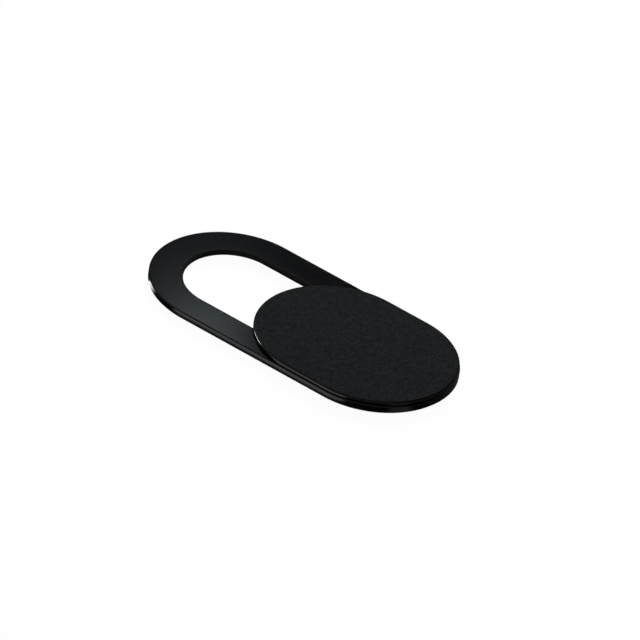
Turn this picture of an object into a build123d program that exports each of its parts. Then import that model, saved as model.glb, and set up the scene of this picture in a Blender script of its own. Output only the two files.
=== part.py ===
"""Thin sliding cover for a built-in webcam.

A flat ring-shaped frame with round ends is stuck over the camera by a ring of double-sided tape.
A shutter plate lies on top of the frame. Its neck passes down through the frame's window and is
bonded to a wider back plate, which runs in a shallow track in the frame's back and so holds the
slider in the frame. The slider is drawn parked at the +X end, with the window's other half open.

Millimetres. The origin is at the middle of the frame, on the face that sticks to the screen:
+X runs along the length, towards the parked slider, and +Z points away from the screen.
"""
import os

from build123d import *

# Frame: outline, window and the edge that a finger meets
frame_length = 18.6
frame_width = 9.0
frame_thickness = 0.39
rim_width = 1.85
frame_edge_round = 0.06

# Track for the back plate, recessed into the frame's back all round the window
track_depth = 0.14
track_reach = 0.65

# Lip that is left between the track and the frame's top: how much of its height is rounded over
lip_round_share = 0.85

# Tape ring between the frame and the screen
tape_thickness = 0.10
tape_edge_inset = 0.12
tape_track_margin = 0.10

# Shutter plate, a little inside the frame's outline at the sides and at the end it is parked at
cover_length = 11.5
cover_inset = 0.05
cover_thickness = 0.21
cover_edge_round = 0.08

# Back plate that holds the slider in
retainer_thickness = 0.10

# Edges that the mould leaves with only a slight break
edge_break = 0.03

# Running clearances
cover_gap = 0.03
neck_gap = 0.05
retainer_top_gap = 0.03
retainer_side_gap = 0.10

# Travel from one end of the frame to the other, and the slider's place when it is parked
travel = frame_length - 2 * cover_inset - cover_length
slider_x = travel / 2

# Outlines that follow from the frame's own
window_length = frame_length - 2 * rim_width
window_width = frame_width - 2 * rim_width
cover_width = frame_width - 2 * cover_inset
track_length = window_length + 2 * track_reach
track_width = window_width + 2 * track_reach

# Round on the window's lip
window_edge_round = lip_round_share * (frame_thickness - track_depth)

# Outlines that follow from the opening each piece runs in
neck_length = window_length - travel - 2 * neck_gap
neck_width = window_width - 2 * neck_gap
retainer_length = track_length - travel - 2 * retainer_side_gap
retainer_width = track_width - 2 * retainer_side_gap

# Heights, from the screen up
frame_back = tape_thickness
frame_top = frame_back + frame_thickness
track_ceiling = frame_back + track_depth
retainer_top = track_ceiling - retainer_top_gap
cover_back = frame_top + cover_gap


def obround_plate(length, width, thickness, x, z):
    """Flat plate with parallel sides and round ends; its lower face is at height z."""
    return Pos(x, 0, z) * extrude(SlotOverall(length, width), amount=thickness)


def top_edges(plate):
    """The edges that lie highest."""
    return plate.edges().group_by(Axis.Z)[-1]


def bottom_edges(plate):
    """The edges that lie lowest."""
    return plate.edges().group_by(Axis.Z)[0]


def make_frame():
    """Ring with a rounded rim, a through window with a rounded lip, and the track in its back."""
    blank = obround_plate(frame_length, frame_width, frame_thickness, 0, frame_back)
    blank = fillet(top_edges(blank), frame_edge_round)
    blank = chamfer(bottom_edges(blank), edge_break)
    window = obround_plate(window_length, window_width, frame_thickness, 0, frame_back)
    track = obround_plate(track_length, track_width, track_depth, 0, frame_back)
    ring = blank - window - track
    window_reach = window_length / 2 + window_edge_round
    window_half_width = window_width / 2 + window_edge_round
    lip = [
        edge
        for edge in top_edges(ring)
        if abs((edge @ 0.5).X) < window_reach and abs((edge @ 0.5).Y) < window_half_width
    ]
    return fillet(lip, window_edge_round)


def make_slider_cover():
    """Shutter plate with a rounded top edge, in one moulding with the neck under it."""
    plate = obround_plate(cover_length, cover_width, cover_thickness, slider_x, cover_back)
    plate = fillet(top_edges(plate), cover_edge_round)
    plate = chamfer(bottom_edges(plate), edge_break)
    neck_height = cover_back - retainer_top
    neck = obround_plate(neck_length, neck_width, neck_height, slider_x, retainer_top)
    return plate + neck


def make_slider_retainer():
    """Back plate, bonded to the neck's lower face, with its lower edge broken to glide in the track."""
    retainer_back = retainer_top - retainer_thickness
    plate = obround_plate(retainer_length, retainer_width, retainer_thickness, slider_x, retainer_back)
    return chamfer(bottom_edges(plate), edge_break)


def make_adhesive_ring():
    """Die-cut tape ring on the frame's back, clear of the track and of the frame's outer edge."""
    outer_length = frame_length - 2 * tape_edge_inset
    outer_width = frame_width - 2 * tape_edge_inset
    inner_length = track_length + 2 * tape_track_margin
    inner_width = track_width + 2 * tape_track_margin
    blank = obround_plate(outer_length, outer_width, tape_thickness, 0, 0)
    return blank - obround_plate(inner_length, inner_width, tape_thickness, 0, 0)


pieces = {
    "frame": make_frame(),
    "slider_cover": make_slider_cover(),
    "slider_retainer": make_slider_retainer(),
    "adhesive_ring": make_adhesive_ring(),
}

os.makedirs("parts", exist_ok=True)
for node, piece in pieces.items():
    export_step(piece, f"parts/{node}.step")
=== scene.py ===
# %% [markdown]
# # A sliding webcam cover
#
# The object is a thin black ring that is stuck round a laptop's camera, with a shutter plate that slides
# along it. It is under a millimetre thick, so what makes it look real is small: how round each edge is,
# how the matt plate differs from the satin ring, and how a soft light runs out across both.
#
# This lesson loads the measured model, dresses each of its four pieces and lights them. All lengths are
# in metres, as Blender has them, and sizes are written in millimetres times MM.

# %% Load the measured model
import math

import bmesh
import bpy
from mathutils import Matrix, Vector


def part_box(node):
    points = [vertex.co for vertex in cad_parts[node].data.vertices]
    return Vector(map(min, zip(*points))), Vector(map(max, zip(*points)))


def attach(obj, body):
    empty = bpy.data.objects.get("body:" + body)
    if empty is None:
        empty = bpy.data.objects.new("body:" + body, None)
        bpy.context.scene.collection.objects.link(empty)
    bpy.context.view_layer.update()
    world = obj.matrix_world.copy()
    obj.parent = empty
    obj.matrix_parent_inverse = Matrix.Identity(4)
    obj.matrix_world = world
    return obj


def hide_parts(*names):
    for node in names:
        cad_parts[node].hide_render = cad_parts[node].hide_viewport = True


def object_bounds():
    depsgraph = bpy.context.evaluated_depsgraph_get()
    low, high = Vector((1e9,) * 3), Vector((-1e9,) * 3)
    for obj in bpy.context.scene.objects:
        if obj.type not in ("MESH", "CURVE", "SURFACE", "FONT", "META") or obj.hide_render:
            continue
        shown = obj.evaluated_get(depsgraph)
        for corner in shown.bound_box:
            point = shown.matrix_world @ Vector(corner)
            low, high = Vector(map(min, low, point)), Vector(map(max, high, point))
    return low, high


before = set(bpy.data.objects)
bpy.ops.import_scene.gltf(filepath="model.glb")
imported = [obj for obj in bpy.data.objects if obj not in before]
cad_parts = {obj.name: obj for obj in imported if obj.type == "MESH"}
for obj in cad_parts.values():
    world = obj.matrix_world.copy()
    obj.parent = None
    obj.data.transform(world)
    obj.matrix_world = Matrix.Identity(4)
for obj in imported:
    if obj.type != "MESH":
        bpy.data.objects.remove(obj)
cad_low, cad_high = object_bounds()
MM = 0.001
print("model box in mm:", [round(size / MM, 3) for size in cad_high - cad_low])

# %% [markdown]
# ## Camera
#
# The picture is a product shot from a long way off: the far and the near side of the ring come out
# equally wide. The camera therefore stands 0.8 m away behind a very long lens. It looks down at 34
# degrees from the front right, and it was rolled by 9 degrees, so the part runs downhill in the picture.
# The place of the model's origin in the frame sets the aim, without any lens shift.

# %% Camera
PHOTO_SIZE = 640
AZIMUTH = math.radians(32.916)
ELEVATION = math.radians(33.712)
ROLL = math.radians(9.031)
CAMERA_DISTANCE = 800 * MM
FOCAL_PIXELS = 15171.2
ORIGIN_PIXEL = (302.95, 326.10)
SENSOR = 36.0


def photo_camera():
    """Camera that puts the model's origin on its pixel, turned as in the photo."""
    back = Vector((
        math.sin(AZIMUTH) * math.cos(ELEVATION),
        -math.cos(AZIMUTH) * math.cos(ELEVATION),
        math.sin(ELEVATION),
    ))
    level = Vector((math.cos(AZIMUTH), math.sin(AZIMUTH), 0))
    upright = back.cross(level)
    right = math.cos(ROLL) * level + math.sin(ROLL) * upright
    up = -math.sin(ROLL) * level + math.cos(ROLL) * upright
    metres_per_pixel = CAMERA_DISTANCE / FOCAL_PIXELS
    aside = (ORIGIN_PIXEL[0] - PHOTO_SIZE / 2) * metres_per_pixel
    above = -(ORIGIN_PIXEL[1] - PHOTO_SIZE / 2) * metres_per_pixel
    data = bpy.data.cameras.new("photo_camera")
    data.sensor_width = SENSOR
    data.lens = FOCAL_PIXELS * SENSOR / PHOTO_SIZE
    camera = bpy.data.objects.new("photo_camera", data)
    place = back * CAMERA_DISTANCE - aside * right - above * up
    turn = Matrix((right, up, back)).transposed().to_4x4()
    camera.matrix_world = Matrix.Translation(place) @ turn
    bpy.context.scene.collection.objects.link(camera)
    return camera


camera = photo_camera()
bpy.context.scene.camera = camera
bpy.context.scene.view_settings.view_transform = "Standard"
print("camera lens in mm:", round(camera.data.lens, 1))

# %% [markdown]
# ## Finishes
#
# Every finish is a set of nodes on Object coordinates, in millimetres, so a grain has its real size
# whichever piece it is on. A few small helpers keep the finishes themselves short. The first one starts
# a finish: it gives the shader, and the coordinates already scaled. The others each add one node. Noise
# hardly ever leaves the middle of its range, so that middle is what gets spread over the wanted values.

# %% Helpers for the finishes
NOISE_RANGE = (0.3, 0.7)


def new_finish(name):
    """Empty material with its shader, and Object coordinates in millimetres."""
    finish = bpy.data.materials.new(name)
    finish.use_nodes = True
    nodes = finish.node_tree.nodes
    shader = nodes["Principled BSDF"]
    place = nodes.new("ShaderNodeTexCoord")
    millimetres = nodes.new("ShaderNodeVectorMath")
    millimetres.operation = "SCALE"
    millimetres.inputs["Scale"].default_value = 1 / MM
    finish.node_tree.links.new(place.outputs["Object"], millimetres.inputs[0])
    return finish, shader, millimetres.outputs["Vector"]


def add_noise(finish, place, per_mm, detail, roughness=0.5):
    """Noise with so many features to the millimetre; gives its height."""
    node = finish.node_tree.nodes.new("ShaderNodeTexNoise")
    node.inputs["Scale"].default_value = per_mm
    node.inputs["Detail"].default_value = detail
    node.inputs["Roughness"].default_value = roughness
    finish.node_tree.links.new(place, node.inputs["Vector"])
    return node.outputs["Fac"]


def add_range(finish, value, from_low, from_high, to_low, to_high):
    """Spread a value that runs between two numbers over two others."""
    node = finish.node_tree.nodes.new("ShaderNodeMapRange")
    node.inputs["From Min"].default_value = from_low
    node.inputs["From Max"].default_value = from_high
    node.inputs["To Min"].default_value = to_low
    node.inputs["To Max"].default_value = to_high
    finish.node_tree.links.new(value, node.inputs["Value"])
    return node.outputs["Result"]


def add_tint(finish, shader, value, dark, light):
    """Base colour that runs from dark to light with a value."""
    node = finish.node_tree.nodes.new("ShaderNodeValToRGB")
    node.color_ramp.elements[0].color = (*dark, 1)
    node.color_ramp.elements[1].color = (*light, 1)
    finish.node_tree.links.new(value, node.inputs["Fac"])
    finish.node_tree.links.new(node.outputs["Color"], shader.inputs["Base Color"])


def add_roughness(finish, shader, noise, smooth, rough):
    """Roughness that runs from smooth to rough with a noise."""
    roughness = add_range(finish, noise, *NOISE_RANGE, smooth, rough)
    finish.node_tree.links.new(roughness, shader.inputs["Roughness"])


def add_bump(finish, shader, height, strength, depth):
    """Fine relief: depth is how far the height's full range stands up."""
    node = finish.node_tree.nodes.new("ShaderNodeBump")
    node.inputs["Strength"].default_value = strength
    node.inputs["Distance"].default_value = depth
    finish.node_tree.links.new(height, node.inputs["Height"])
    finish.node_tree.links.new(node.outputs["Normal"], shader.inputs["Normal"])


def add_math(tree, operation, *values):
    """Math node of any tree; each value is a number or another node's output."""
    node = tree.nodes.new("ShaderNodeMath")
    node.operation = operation
    for socket, value in zip(node.inputs, values):
        if isinstance(value, (int, float)):
            socket.default_value = value
        else:
            tree.links.new(value, socket)
    return node.outputs[0]


print("noise is read from", NOISE_RANGE[0], "to", NOISE_RANGE[1])

# %% [markdown]
# ## Satin black of the ring
#
# The ring is moulded in black plastic with a satin skin. It mirrors a lamp softly and is almost black
# elsewhere, so nearly all that one sees of it is gloss. One flat black with one roughness would look
# like paint. A moulded skin is never that even: here slow clouds shift the tint, and a fine noise shifts
# the roughness and lifts the surface by far less than the eye can make out, just enough to break the
# mirror.

# %% Satin black
CLOUDS_PER_MM = 0.5
SATIN_SPECKS_PER_MM = 14
SATIN_DARK = (0.0022, 0.0024, 0.0027)
SATIN_LIGHT = (0.0034, 0.0036, 0.0040)
SATIN_ROUGHNESS = (0.218, 0.232)
SATIN_RELIEF = 0.002 * MM


def satin_black():
    finish, shader, place = new_finish("satin_black")
    cloud = add_noise(finish, place, CLOUDS_PER_MM, detail=2)
    fine = add_noise(finish, place, SATIN_SPECKS_PER_MM, detail=2)
    add_tint(finish, shader, cloud, SATIN_DARK, SATIN_LIGHT)
    add_roughness(finish, shader, fine, *SATIN_ROUGHNESS)
    add_bump(finish, shader, fine, strength=0.02, depth=SATIN_RELIEF)
    return finish


ring_finish = satin_black()
print("finish:", ring_finish.name)

# %% [markdown]
# ## Dull black inside the window, painted paler
#
# The lip of the window and the walls behind it show no bright line in the photo, although the top right
# beside them does. They come off a part of the mould that nobody polishes: less gloss. Their black is
# also painted a little paler, a painted lift of the shaded lip and walls towards the tone of the top. The
# finish could be one material with a mask. Two plain materials are easier to read, and the sweep below
# can tell which faces look inwards.

# %% Dull black, painted paler
DULL_SPECKS_PER_MM = 18
# painted lift: this black is paler than the satin, so the shaded lip and inner walls read lighter
DULL_PAINTED_LIFT_DARK = (0.0080, 0.0084, 0.0088)
DULL_PAINTED_LIFT_LIGHT = (0.0105, 0.0110, 0.0115)
DULL_ROUGHNESS = (0.46, 0.54)
DULL_SPECULAR = 0.35
DULL_RELIEF = 0.004 * MM


def dull_black():
    finish, shader, place = new_finish("dull_black")
    cloud = add_noise(finish, place, CLOUDS_PER_MM, detail=2)
    fine = add_noise(finish, place, DULL_SPECKS_PER_MM, detail=3)
    add_tint(finish, shader, cloud, DULL_PAINTED_LIFT_DARK, DULL_PAINTED_LIFT_LIGHT)
    add_roughness(finish, shader, fine, *DULL_ROUGHNESS)
    shader.inputs["Specular IOR Level"].default_value = DULL_SPECULAR
    add_bump(finish, shader, fine, strength=0.1, depth=DULL_RELIEF)
    return finish


inside_finish = dull_black()
print("finish:", inside_finish.name)

# %% [markdown]
# ## Matt grain of the shutter
#
# The shutter's top is matt, with a fine grain that takes off all gloss and hides finger marks. Close up
# it is a field of light and dark specks, about a tenth of a millimetre across. One noise drives the
# tint, the roughness and the relief, so that a light speck is also a raised one, as on a sprayed or
# spark-eroded face. Little specular is left, because such a face scatters what it doesn't swallow.

# %% Matt grain
GRAIN_SPECKS_PER_MM = 9
GRAIN_DARK = (0.0051, 0.0054, 0.0058)
GRAIN_LIGHT = (0.0185, 0.0200, 0.0210)
GRAIN_ROUGHNESS = (0.75, 0.85)
GRAIN_SPECULAR = 0.1
GRAIN_RELIEF = 0.02 * MM


def grained_black():
    finish, shader, place = new_finish("grained_black")
    grain = add_noise(finish, place, GRAIN_SPECKS_PER_MM, detail=2, roughness=0.6)
    contrast = add_range(finish, grain, *NOISE_RANGE, 0, 1)
    add_tint(finish, shader, contrast, GRAIN_DARK, GRAIN_LIGHT)
    add_roughness(finish, shader, grain, *GRAIN_ROUGHNESS)
    shader.inputs["Specular IOR Level"].default_value = GRAIN_SPECULAR
    add_bump(finish, shader, grain, strength=0.25, depth=GRAIN_RELIEF)
    return finish


shutter_finish = grained_black()
print("finish:", shutter_finish.name)

# %% [markdown]
# ## Milky tape
#
# A ring of double-sided tape holds the cover to the laptop. From above only a line of shade shows where
# it is. Such tape is a milky film of glue, a little uneven from the roller, with a soft shine where it is
# smooth. Slow noise does the clouds and the shine together.

# %% Milky tape
TAPE_CLOUDS_PER_MM = 1.5
TAPE_DARK = (0.55, 0.55, 0.53)
TAPE_LIGHT = (0.70, 0.70, 0.68)
TAPE_ROUGHNESS = (0.30, 0.45)
TAPE_RELIEF = 0.01 * MM


def milky_tape():
    finish, shader, place = new_finish("milky_tape")
    cloud = add_noise(finish, place, TAPE_CLOUDS_PER_MM, detail=4)
    add_tint(finish, shader, cloud, TAPE_DARK, TAPE_LIGHT)
    add_roughness(finish, shader, cloud, *TAPE_ROUGHNESS)
    add_bump(finish, shader, cloud, strength=0.2, depth=TAPE_RELIEF)
    return finish


tape_finish = milky_tape()
print("finish:", tape_finish.name)

# %% [markdown]
# ## Sections
#
# All four pieces follow one rule: an outline with two straight sides and two round ends, and a section
# that goes round it. A section is a short list of corners, each with the radius that the mould or the
# die leaves there. The helper puts an arc at each corner. It also adds a point just outside each arc, so
# that smooth shading stops at the arc and the flat faces beside it stay flat.

# %% Helper for the sections
ARC_STEPS = 8
HOLD = 0.008 * MM


def rounded_corner(before, corner, after, radius):
    """Arc that rounds a corner between two straight runs, with a holding point at each end."""
    back = (before - corner).normalized()
    ahead = (after - corner).normalized()
    half = back.angle(ahead) / 2
    reach = radius / math.tan(half)
    centre = corner + (back + ahead).normalized() * (radius / math.sin(half))
    start = corner + back * reach - centre
    turn = start.angle_signed(corner + ahead * reach - centre)
    points = [corner + back * (reach + HOLD)]
    for step in range(ARC_STEPS + 1):
        # angle_signed counts clockwise, and Rotation the other way
        angle = -turn * step / ARC_STEPS
        spin = Matrix.Rotation(angle, 2)
        points.append(centre + spin @ start)
    points.append(corner + ahead * (reach + HOLD))
    return points


def section_curve(name, corners, closed):
    """Section as a curve: x is how far outside the outline a point lies, and y is its height."""
    places = [Vector(corner[:2]) for corner in corners]
    points = []
    for index, (x, y, radius) in enumerate(corners):
        at_end = not closed and index in (0, len(corners) - 1)
        if at_end or radius == 0:
            points.append(Vector((x, y)))
            continue
        before = places[index - 1]
        after = places[(index + 1) % len(places)]
        points.extend(rounded_corner(before, places[index], after, radius))
    data = bpy.data.curves.new(name, "CURVE")
    spline = data.splines.new("POLY")
    spline.points.add(len(points) - 1)
    for target, point in zip(spline.points, points):
        # the sweep turns a profile's y downwards
        target.co = (point.x, -point.y, 0, 1)
    spline.use_cyclic_u = closed
    section = bpy.data.objects.new(name, data)
    bpy.context.scene.collection.objects.link(section)
    print("section:", name, len(points), "points")
    return section


print("steps in each rounded corner:", ARC_STEPS)

# %% [markdown]
# ## The rule as a node tree
#
# The tree starts from a circle as wide as the piece. Cut in half and pulled apart, it becomes the
# outline. The section is swept along it, doubles are merged, and sharp folds are marked. Where a section
# reaches in as far as half the width, the sweep closes along the middle of the piece and makes a plate;
# a closed section makes a ring. At the end the faces get their finishes: one for the piece, one for the
# flat top and one for the faces that look in towards the middle line.

# %% Start of the tree
sweep_tree = bpy.data.node_groups.new("outline_sweep", "GeometryNodeTree")
sweep_sockets = {}
for label, kind in (
    ("Length", "NodeSocketFloat"),
    ("Width", "NodeSocketFloat"),
    ("Centre", "NodeSocketFloat"),
    ("Steps", "NodeSocketInt"),
    ("Section", "NodeSocketObject"),
    ("Finish", "NodeSocketMaterial"),
    ("Top Finish", "NodeSocketMaterial"),
    ("Inside Finish", "NodeSocketMaterial"),
):
    socket = sweep_tree.interface.new_socket(name=label, in_out="INPUT", socket_type=kind)
    sweep_sockets[label] = socket.identifier
sweep_tree.interface.new_socket(name="Geometry", in_out="OUTPUT", socket_type="NodeSocketGeometry")
given = sweep_tree.nodes.new("NodeGroupInput")
link = sweep_tree.links.new
print("tree inputs:", sweep_sockets)


def add_step(kind, **wires):
    """Node of the tree with its inputs wired; an underscore in a name stands for a space."""
    node = sweep_tree.nodes.new(kind)
    for label, source in wires.items():
        link(source, node.inputs[label.replace("_", " ")])
    return node


def add_sum(operation, *values):
    """Math node of this tree."""
    return add_math(sweep_tree, operation, *values)


# %% [markdown]
# ## Outline and sweep
#
# Pulling a circle apart is the shortest way to an outline with round ends: every point moves by half the
# straight length, to the side that it is on. The number of steps round the circle is even but not a
# multiple of four, so no point lies on the cut itself.

# %% Outline and sweep
OUTLINE_STEPS = 258
MERGE_REACH = 0.0001 * MM
SHARP_FOLD = math.radians(40)

circle = add_step("GeometryNodeCurvePrimitiveCircle", Resolution=given.outputs["Steps"])
link(add_sum("MULTIPLY", given.outputs["Width"], 0.5), circle.inputs["Radius"])
position = add_step("GeometryNodeInputPosition")
axes = add_step("ShaderNodeSeparateXYZ", Vector=position.outputs["Position"])
straight = add_sum("SUBTRACT", given.outputs["Length"], given.outputs["Width"])
half_straight = add_sum("MULTIPLY", straight, 0.5)
pull = add_sum("MULTIPLY", add_sum("SIGN", axes.outputs["X"]), half_straight)
move = add_step("ShaderNodeCombineXYZ", X=add_sum("ADD", pull, given.outputs["Centre"]))
outline = add_step(
    "GeometryNodeSetPosition", Geometry=circle.outputs["Curve"], Offset=move.outputs["Vector"]
)
section_info = add_step("GeometryNodeObjectInfo", Object=given.outputs["Section"])
sweep = add_step(
    "GeometryNodeCurveToMesh",
    Curve=outline.outputs["Geometry"],
    Profile_Curve=section_info.outputs["Geometry"],
)
merge = add_step("GeometryNodeMergeByDistance", Geometry=sweep.outputs["Mesh"])
merge.inputs["Distance"].default_value = MERGE_REACH
outward = add_step("GeometryNodeFlipFaces", Mesh=merge.outputs["Geometry"])
smooth = add_step("GeometryNodeSetShadeSmooth", Geometry=outward.outputs["Mesh"])
fold = add_step("GeometryNodeInputMeshEdgeAngle")
sharp = add_step(
    "GeometryNodeSetShadeSmooth",
    Geometry=smooth.outputs["Geometry"],
    Selection=add_sum("GREATER_THAN", fold.outputs["Unsigned Angle"], SHARP_FOLD),
)
sharp.domain = "EDGE"
sharp.inputs["Shade Smooth"].default_value = False
realize = add_step("GeometryNodeRealizeInstances", Geometry=sharp.outputs["Geometry"])
print("tree nodes so far:", len(sweep_tree.nodes))

# %% [markdown]
# ## Which face gets which finish
#
# A face belongs to the flat top if its normal points straight up. It looks inwards if its normal points
# back at the middle line of the piece, which is the straight line between the centres of the two round
# ends. Both could be picked by hand, but a rule still holds when a size changes.

# %% Finishes by where a face looks
FLAT_UP = 0.999
FACES_IN = -0.1 * MM

facing = add_step("GeometryNodeInputNormal")
slope = add_step("ShaderNodeSeparateXYZ", Vector=facing.outputs["Normal"])
along = add_sum("SUBTRACT", axes.outputs["X"], given.outputs["Centre"])
not_left = add_sum("MAXIMUM", along, add_sum("MULTIPLY", half_straight, -1))
on_line = add_sum("MINIMUM", not_left, half_straight)
out_x = add_sum("MULTIPLY", slope.outputs["X"], add_sum("SUBTRACT", along, on_line))
out_y = add_sum("MULTIPLY", slope.outputs["Y"], axes.outputs["Y"])
looks_in = add_sum("LESS_THAN", add_sum("ADD", out_x, out_y), FACES_IN)

dress = add_step(
    "GeometryNodeSetMaterial", Geometry=realize.outputs["Geometry"], Material=given.outputs["Finish"]
)
dress_top = add_step(
    "GeometryNodeSetMaterial",
    Geometry=dress.outputs["Geometry"],
    Selection=add_sum("GREATER_THAN", slope.outputs["Z"], FLAT_UP),
    Material=given.outputs["Top Finish"],
)
dress_inside = add_step(
    "GeometryNodeSetMaterial",
    Geometry=dress_top.outputs["Geometry"],
    Selection=looks_in,
    Material=given.outputs["Inside Finish"],
)
add_step("NodeGroupOutput", Geometry=dress_inside.outputs["Geometry"])
print("tree nodes:", len(sweep_tree.nodes))

# %% [markdown]
# ## Running the tree
#
# Each piece takes its length, width and place from its own solid in the measured model, so the two can't
# drift apart. The result is turned into a plain mesh at once. The helper then counts open edges and works
# out the volume: no open edge and a volume above zero mean a closed piece whose faces point outwards.

# %% Helper that runs the tree


def swept_piece(name, node, section, finish, top_finish=None, inside_finish=None):
    """Sweep a section round a node's own outline, and keep the result as a plain mesh."""
    low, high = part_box(node)
    piece = bpy.data.objects.new(name, bpy.data.meshes.new(name))
    bpy.context.scene.collection.objects.link(piece)
    modifier = piece.modifiers.new("sweep", "NODES")
    modifier.node_group = sweep_tree
    values = {
        "Length": high.x - low.x,
        "Width": high.y - low.y,
        "Centre": (low.x + high.x) / 2,
        "Steps": OUTLINE_STEPS,
        "Section": section,
        "Finish": finish,
        "Top Finish": top_finish or finish,
        "Inside Finish": inside_finish or finish,
    }
    for label, value in values.items():
        modifier[sweep_sockets[label]] = value
    depsgraph = bpy.context.evaluated_depsgraph_get()
    mesh = bpy.data.meshes.new_from_object(piece.evaluated_get(depsgraph), depsgraph=depsgraph)
    piece.modifiers.clear()
    piece.data = mesh
    mesh.name = name
    bpy.data.objects.remove(section)
    solid = bmesh.new()
    solid.from_mesh(mesh)
    open_edges = sum(not edge.is_manifold for edge in solid.edges)
    volume = solid.calc_volume(signed=True) / MM**3
    solid.free()
    counts = f"{len(mesh.polygons)} faces, {open_edges} open edges,"
    print("piece:", name, counts, round(volume, 3), "mm3")
    return piece


print("steps round each outline:", OUTLINE_STEPS)

# %% [markdown]
# ## Ring
#
# The ring is one moulding. Its outer edge is nearly sharp, while the lip of the window is well rounded.
# Under the lip a track is cut back into the rim, where the shutter's back plate runs. All of that is in
# one closed section: up the outside, across the top, down the lip, back along the roof of the track, down
# its wall and out along the back.

# %% Ring
RIM_WIDTH = 1.85 * MM
TOP_ROUND = 0.06 * MM
LIP_ROUND = 0.2125 * MM
TRACK_DEPTH = 0.14 * MM
TRACK_REACH = 0.65 * MM
EDGE_BREAK = 0.03 * MM
SHARP_ROUND = 0.008 * MM

ring_low, ring_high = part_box("frame")
back, top = ring_low.z, ring_high.z
track_side = TRACK_REACH - RIM_WIDTH
ring_section = section_curve("ring_section", (
    (0, back + EDGE_BREAK, SHARP_ROUND),
    (0, top, TOP_ROUND),
    (-RIM_WIDTH, top, LIP_ROUND),
    (-RIM_WIDTH, back + TRACK_DEPTH, SHARP_ROUND),
    (track_side, back + TRACK_DEPTH, SHARP_ROUND),
    (track_side, back, SHARP_ROUND),
    (-EDGE_BREAK, back, SHARP_ROUND),
), closed=True)
ring = swept_piece("ring", "frame", ring_section, ring_finish, inside_finish=inside_finish)
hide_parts("frame")
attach(ring, "base")

# %% [markdown]
# ## Shutter
#
# The shutter is the plate that a finger pushes. It lies on the ring and is a hair smaller, and a neck
# under it reaches down through the window to the back plate. Only its flat top has the matt grain: the
# edge is satin, which is why a light from the left draws a fine bright line along it.

# %% Shutter
SHUTTER_THICKNESS = 0.21 * MM
SHUTTER_ROUND = 0.08 * MM
NECK_INSET = 1.85 * MM

shutter_low, shutter_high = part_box("slider_cover")
shutter_half = (shutter_high.y - shutter_low.y) / 2
under, over = shutter_high.z - SHUTTER_THICKNESS, shutter_high.z
shutter_section = section_curve("shutter_section", (
    (-shutter_half, shutter_low.z, 0),
    (-NECK_INSET, shutter_low.z, SHARP_ROUND),
    (-NECK_INSET, under, SHARP_ROUND),
    (-EDGE_BREAK, under, SHARP_ROUND),
    (0, under + EDGE_BREAK, SHARP_ROUND),
    (0, over, SHUTTER_ROUND),
    (-shutter_half, over, 0),
), closed=False)
shutter = swept_piece("shutter", "slider_cover", shutter_section, ring_finish, shutter_finish)
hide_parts("slider_cover")
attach(shutter, "slider")

# %% [markdown]
# ## Back plate
#
# The back plate is fixed to the neck once the shutter is in the window. It is wider than the window, so
# it holds the shutter in and runs in the ring's track. It is a plain flat plate, and its lower edge is
# broken a little so that it doesn't catch.

# %% Back plate
plate_low, plate_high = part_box("slider_retainer")
plate_half = (plate_high.y - plate_low.y) / 2
plate_section = section_curve("plate_section", (
    (-plate_half, plate_low.z, 0),
    (-EDGE_BREAK, plate_low.z, SHARP_ROUND),
    (0, plate_low.z + EDGE_BREAK, SHARP_ROUND),
    (0, plate_high.z, SHARP_ROUND),
    (-plate_half, plate_high.z, 0),
), closed=False)
plate = swept_piece("back_plate", "slider_retainer", plate_section, inside_finish)
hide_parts("slider_retainer")
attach(plate, "slider")

# %% [markdown]
# ## Tape
#
# The tape is cut from a flat roll, so its section is a plain rectangle with crisp corners. It stays
# inside the ring's outer edge, and ends before the track, where the back plate has to run free.

# %% Tape
TAPE_WIDTH = 0.98 * MM

tape_low, tape_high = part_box("adhesive_ring")
tape_section = section_curve("tape_section", (
    (0, tape_low.z, SHARP_ROUND),
    (0, tape_high.z, SHARP_ROUND),
    (-TAPE_WIDTH, tape_high.z, SHARP_ROUND),
    (-TAPE_WIDTH, tape_low.z, SHARP_ROUND),
), closed=True)
tape = swept_piece("tape_ring", "adhesive_ring", tape_section, tape_finish)
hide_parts("adhesive_ring")
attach(tape, "base")

# %% [markdown]
# ## Painted strips of light on the paper
#
# The satin walls mirror the paper close to the part. In the photo they are black except in three places:
# along the front, in a white glint on the left, and faintly on the right. There the paper is given
# painted light, and the rest of it near the part a painted shade. A fourth painted strip does for the
# back what the first does for the front. Lamps just above the paper could light it, but such small spots
# of light come out noisy. Here each strip is a box with soft edges, painted in millimetres on the paper
# itself.

# %% Painted strips of light on the paper
# painted light: each strip is a glow painted on the paper, and it shows only in gloss
LONG_STRIP = {"width": 0.50, "fades": (0.4, 0.4, 0.1), "glow": 1.15}
PAINTED_LIGHT_STRIPS = {
    "front": {"start": (-5.75, -5.11), "end": (6.05, -5.11), **LONG_STRIP},
    "back": {"start": (-5.75, 5.11), "end": (6.05, 5.11), **LONG_STRIP},
    "left": {
        "start": (-8.31, -3.16),
        "end": (-7.67, -3.74),
        "width": 0.42,
        "fades": (0.2, 0.7, 0.06),
        "glow": 3.2,
    },
    "right": {
        "start": (8.61, -3.25),
        "end": (9.30, -2.10),
        "width": 0.80,
        "fades": (0.5, 0.5, 0.3),
        "glow": 0.22,
    },
}


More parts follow.
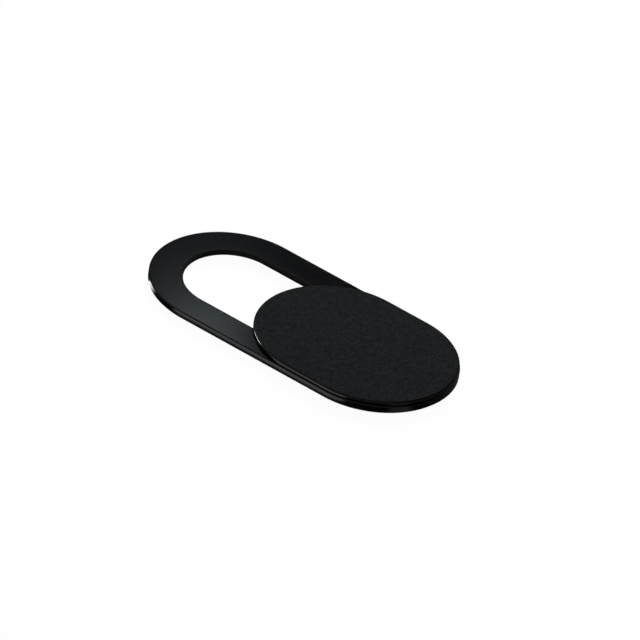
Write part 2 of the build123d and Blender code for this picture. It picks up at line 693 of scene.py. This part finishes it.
def painted_light_strip(finish, place, start, end, width, fades, glow):
    """Painted light of one strip: a glow that fades over a length at its start, at its end and along its
    sides.
    """
    tree = finish.node_tree
    run = Vector(end) - Vector(start)
    local = tree.nodes.new("ShaderNodeMapping")
    local.vector_type = "TEXTURE"
    local.inputs["Location"].default_value = (*start, 0)
    local.inputs["Rotation"].default_value = (0, 0, math.atan2(run.y, run.x))
    tree.links.new(place, local.inputs["Vector"])
    axes = tree.nodes.new("ShaderNodeSeparateXYZ")
    tree.links.new(local.outputs["Vector"], axes.inputs["Vector"])
    at_start, at_end, at_side = (fade / 2 for fade in fades)
    begins = add_range(finish, axes.outputs["X"], -at_start, at_start, 0, glow)
    ends = add_range(finish, axes.outputs["X"], run.length - at_end, run.length + at_end, 1, 0)
    aside = add_math(tree, "ABSOLUTE", axes.outputs["Y"])
    within = add_range(finish, aside, width / 2 - at_side, width / 2 + at_side, 1, 0)
    return add_math(tree, "MULTIPLY", add_math(tree, "MULTIPLY", begins, ends), within)


print("strips of light:", list(PAINTED_LIGHT_STRIPS))

# %% [markdown]
# ## Floor
#
# The part lies on white paper. Lighting the paper until it is white would flood the part as well. The
# paper therefore glows, but only for the camera and for rays through clear things: where the key light
# reaches it, it comes out white, and in the part's shadow a shade less. In gloss its glow is painted: low
# close to the part as a painted shade, with the painted strips of light on top, and paler further off.
# How far off a point is follows from the ring's outline: the distance to its middle line, less half its
# width.

# %% Floor
FLOOR_SIZE = 3.0
FLOOR_DROP = 0.005 * MM
PAPER_GREY = 0.03
PAPER_ROUGHNESS = 0.9
PAPER_GLOW = 0.97
# painted shade: in gloss the paper glows only this little close to the part, and more further off
PAINTED_SHADE_GLOW = 0.02
OPEN_GLOW = 0.15
PAINTED_SHADE_WITHIN = 1.0
OPEN_BEYOND = 3.0
HALF_WIDTH = (cad_high.y - cad_low.y) / 2 / MM
HALF_LINE = (cad_high.x - cad_low.x) / 2 / MM - HALF_WIDTH


def off_the_part(finish, place):
    """Distance in millimetres from the ring's outline, outwards."""
    tree = finish.node_tree
    axes = tree.nodes.new("ShaderNodeSeparateXYZ")
    tree.links.new(place, axes.inputs["Vector"])
    past_line = add_math(tree, "SUBTRACT", add_math(tree, "ABSOLUTE", axes.outputs["X"]), HALF_LINE)
    along = add_math(tree, "POWER", add_math(tree, "MAXIMUM", past_line, 0), 2)
    across = add_math(tree, "POWER", add_math(tree, "ABSOLUTE", axes.outputs["Y"]), 2)
    from_line = add_math(tree, "SQRT", add_math(tree, "ADD", along, across))
    return add_math(tree, "SUBTRACT", from_line, HALF_WIDTH)


def white_paper():
    finish, shader, place = new_finish("white_paper")
    tree = finish.node_tree
    shader.inputs["Base Color"].default_value = (PAPER_GREY, PAPER_GREY, PAPER_GREY, 1)
    shader.inputs["Roughness"].default_value = PAPER_ROUGHNESS
    shader.inputs["Specular IOR Level"].default_value = 0
    shader.inputs["Emission Color"].default_value = (1, 1, 1, 1)
    rays = tree.nodes.new("ShaderNodeLightPath")
    seen = add_math(tree, "MAXIMUM", rays.outputs["Is Camera Ray"], rays.outputs["Is Transmission Ray"])
    gap = off_the_part(finish, place)
    # painted shade round the part, with the painted strips of light added to it below
    mirrored = add_range(finish, gap, PAINTED_SHADE_WITHIN, OPEN_BEYOND, PAINTED_SHADE_GLOW, OPEN_GLOW)
    for strip in PAINTED_LIGHT_STRIPS.values():
        mirrored = add_math(tree, "ADD", painted_light_strip(finish, place, **strip), mirrored)
    in_gloss = add_math(tree, "MULTIPLY", rays.outputs["Is Glossy Ray"], mirrored)
    glow = add_math(tree, "MULTIPLY_ADD", seen, PAPER_GLOW, in_gloss)
    tree.links.new(glow, shader.inputs["Emission Strength"])
    finish.cycles.emission_sampling = "NONE"
    return finish


reach = FLOOR_SIZE / 2
level = cad_low.z - FLOOR_DROP
corners = [(x * reach, y * reach, level) for x, y in ((-1, -1), (1, -1), (1, 1), (-1, 1))]
floor_mesh = bpy.data.meshes.new("floor")
floor_mesh.from_pydata(corners, [], [(0, 1, 2, 3)])
floor_mesh.materials.append(white_paper())
floor = bpy.data.objects.new("floor", floor_mesh)
bpy.context.scene.collection.objects.link(floor)
print("floor:", FLOOR_SIZE, "m wide")

# %% [markdown]
# ## Lamps
#
# A lamp is easiest to judge by how bright its face is next to white paper, so the helper takes that and
# works out the watts. Each panel is for one thing. A large one lights what is matt, at the level where a
# colour comes out as it is written. The others stand where the satin edges and the top mirror them, and
# are kept off the matt surfaces. The renderer's light tree would give nearly all its samples to the large
# one, and the gloss of the others would come out grainy. Without it every lamp gets an equal share.

# %% Helpers for the lamps
bpy.context.scene.cycles.use_light_tree = False


def soft_panel(name, place, aim, size, brightness, mirrored, tint=(1, 1, 1), spread=180):
    """Area lamp that shows only in gloss, or else lights only what is matt. Spread is in degrees."""
    data = bpy.data.lights.new(name, "AREA")
    data.shape = "RECTANGLE"
    data.size, data.size_y = size
    data.energy = brightness * math.pi * size[0] * size[1]
    data.color = tint
    data.spread = math.radians(spread)
    lamp = bpy.data.objects.new(name, data)
    lamp.location = place
    lamp.rotation_euler = (aim - place).to_track_quat("-Z", "Y").to_euler()
    lamp.visible_camera = False
    lamp.visible_glossy = mirrored
    lamp.visible_diffuse = not mirrored
    bpy.context.scene.collection.objects.link(lamp)
    print("lamp:", name, "at", [round(axis / MM, 1) for axis in place], "mm")
    return lamp


def away(start, azimuth, elevation, distance):
    """Place at a bearing, in degrees, and a distance from a start."""
    turn = math.radians(azimuth)
    rise = math.radians(elevation)
    level = math.cos(rise)
    way = Vector((math.cos(turn) * level, math.sin(turn) * level, math.sin(rise)))
    return start + way * distance


def only_for(lamp, piece):
    """Link a lamp to one piece, so that it lights nothing else."""
    receivers = bpy.data.collections.new("lit_by_" + lamp.name)
    receivers.objects.link(piece)
    lamp.light_linking.receiver_collection = receivers
    print("linked:", lamp.name, "to", piece.name)


print("light tree in use:", bpy.context.scene.cycles.use_light_tree)

# %% [markdown]
# ## Key light and sheen
#
# The key stands behind on the left, so the part's short shadow falls towards the camera. The sheen that
# runs out along the front of the ring is the mirror image of a second, small panel with a cool tint. It
# hangs close by: that is why the mirror image reaches the front of the ring and misses the far side.

# %% Key light and sheen
MIDDLE = Vector((0, 0, 0))
KEY_BEARING = (118, 28)
KEY_DISTANCE = 200 * MM
KEY_SIZE = (80 * MM, 80 * MM)
KEY_BRIGHTNESS = 42
COOL = (0.86, 1.0, 1.08)
SHEEN_PLACE = Vector((-21.46, 22.57, 24.01)) * MM
SHEEN_SIZE = (4.6 * MM, 1.43 * MM)
SHEEN_BRIGHTNESS = 5.7

key_place = away(MIDDLE, *KEY_BEARING, KEY_DISTANCE)
soft_panel("key", key_place, MIDDLE, KEY_SIZE, KEY_BRIGHTNESS, mirrored=False)
soft_panel("sheen", SHEEN_PLACE, MIDDLE, SHEEN_SIZE, SHEEN_BRIGHTNESS, mirrored=True, tint=COOL)

# %% [markdown]
# ## Streak on the shutter's edge
#
# The fine bright line on the left of the shutter is a small card that stands on the ring, close to the
# shutter and just as high as its top. A taller card would draw a smoother line, but it would light the
# matt top once the shutter slides under it. The ring would mirror the card as a white patch when seen
# from the right, so the card is linked to the shutter and lights nothing else.

# %% Streak
STREAK_EDGE = Vector((-0.66, -3.41, 0.62)) * MM
STREAK_BEARING = (194, 0)
STREAK_DISTANCE = 1.5 * MM
STREAK_SIZE = (1.35 * MM, 0.23 * MM)
STREAK_SPREAD = 60
STREAK_BRIGHTNESS = 4.6

streak_place = away(STREAK_EDGE, *STREAK_BEARING, STREAK_DISTANCE)
streak = soft_panel(
    "streak",
    streak_place,
    STREAK_EDGE,
    STREAK_SIZE,
    STREAK_BRIGHTNESS,
    mirrored=True,
    spread=STREAK_SPREAD,
)
only_for(streak, shutter)

# %% [markdown]
# ## Fills for the lip of the window
#
# The far side of the rounded lip looks up and to the left, its left end up and to the right. With nothing
# there they would mirror plain black, and the edge would be lost. Two dim panels are enough, a broad one
# and a small one near the end: the lip turns a dark grey that runs out into black as it bends down.

# %% Fills for the lip of the window
FILL_BEARING = (195, 46)
FILL_DISTANCE = 60 * MM
FILL_SIZE = (70 * MM, 40 * MM)
FILL_BRIGHTNESS = 0.12
WINDOW_END = Vector((-7.5, 0, 0.4)) * MM
END_FILL_BEARING = (55, 25)
END_FILL_DISTANCE = 25 * MM
END_FILL_SIZE = (20 * MM, 14 * MM)
END_FILL_BRIGHTNESS = 0.37

fill_place = away(MIDDLE, *FILL_BEARING, FILL_DISTANCE)
soft_panel("fill", fill_place, MIDDLE, FILL_SIZE, FILL_BRIGHTNESS, mirrored=True)
end_place = away(WINDOW_END, *END_FILL_BEARING, END_FILL_DISTANCE)
end_fill = soft_panel(
    "end_fill", end_place, WINDOW_END, END_FILL_SIZE, END_FILL_BRIGHTNESS, mirrored=True
)
only_for(end_fill, ring)

# %% [markdown]
# ## Studio round it
#
# Black gloss shows whatever is round it, so the studio is nearly dark. It is lighter in a narrow band at
# the horizon, where the paper sweep ends, and towards the front, where the room is. The front doesn't
# show in the photo, but it gives the ring its sheen when one walks round it. The camera itself sees white
# wherever the floor ends.

# %% Studio
DARK_STUDIO = 0.015
BAND_GLOW = 0.2
BAND_TOP = 0.06
BAND_FULL = 0.02
FRONT_GLOW = 0.2
FRONT_STARTS = 0.2
FRONT_FULL = -0.8


def dark_studio():
    world = bpy.data.worlds.new("studio")
    world.use_nodes = True
    tree = world.node_tree
    way = tree.nodes.new("ShaderNodeTexCoord")
    axes = tree.nodes.new("ShaderNodeSeparateXYZ")
    tree.links.new(way.outputs["Generated"], axes.inputs["Vector"])
    band = add_range(world, axes.outputs["Z"], BAND_FULL, BAND_TOP, BAND_GLOW, DARK_STUDIO)
    front = add_range(world, axes.outputs["Y"], FRONT_STARTS, FRONT_FULL, 0, FRONT_GLOW)
    mirrored = add_math(tree, "ADD", band, front)
    rays = tree.nodes.new("ShaderNodeLightPath")
    seen = add_math(tree, "MAXIMUM", rays.outputs["Is Camera Ray"], rays.outputs["Is Transmission Ray"])
    sky = tree.nodes["Background"]
    sky.inputs["Color"].default_value = (1, 1, 1, 1)
    tree.links.new(add_math(tree, "MAXIMUM", seen, mirrored), sky.inputs["Strength"])
    return world


bpy.context.scene.world = dark_studio()
print("studio:", DARK_STUDIO, "bright above the band")
